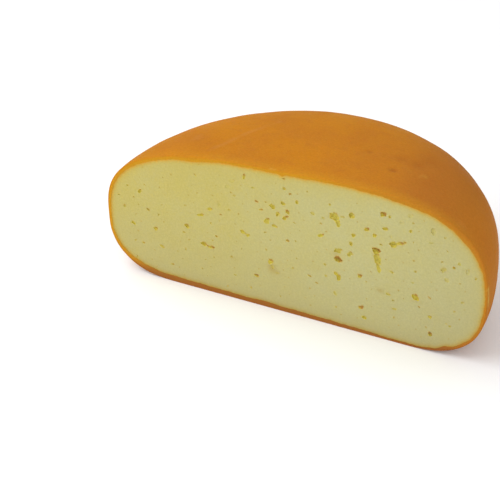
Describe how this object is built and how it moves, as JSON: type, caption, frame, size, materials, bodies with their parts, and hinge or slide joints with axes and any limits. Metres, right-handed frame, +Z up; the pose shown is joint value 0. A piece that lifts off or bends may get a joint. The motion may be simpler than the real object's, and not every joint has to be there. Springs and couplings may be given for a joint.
{
  "type": "half cheese wheel",
  "caption": "Half wheel of mild semi-soft cheese with an orange coat, standing on its foot, the pale yellow paste with small eyes shown on the cut.",
  "frame": {"origin": "bottom centre of the bounding box, on the surface that the half wheel stands on", "axes": "+X along the cut, +Y from the cut face towards the round back, +Z up"},
  "size_m": [0.25, 0.125, 0.1018],
  "materials": {
    "coat": "satin orange cheese coat, a little uneven",
    "paste": "pale yellow semi-soft cheese paste, freshly cut, slightly moist"
  },
  "bodies": {
    "root": {"half_wheel": "coat"}
  },
  "joints": []
}
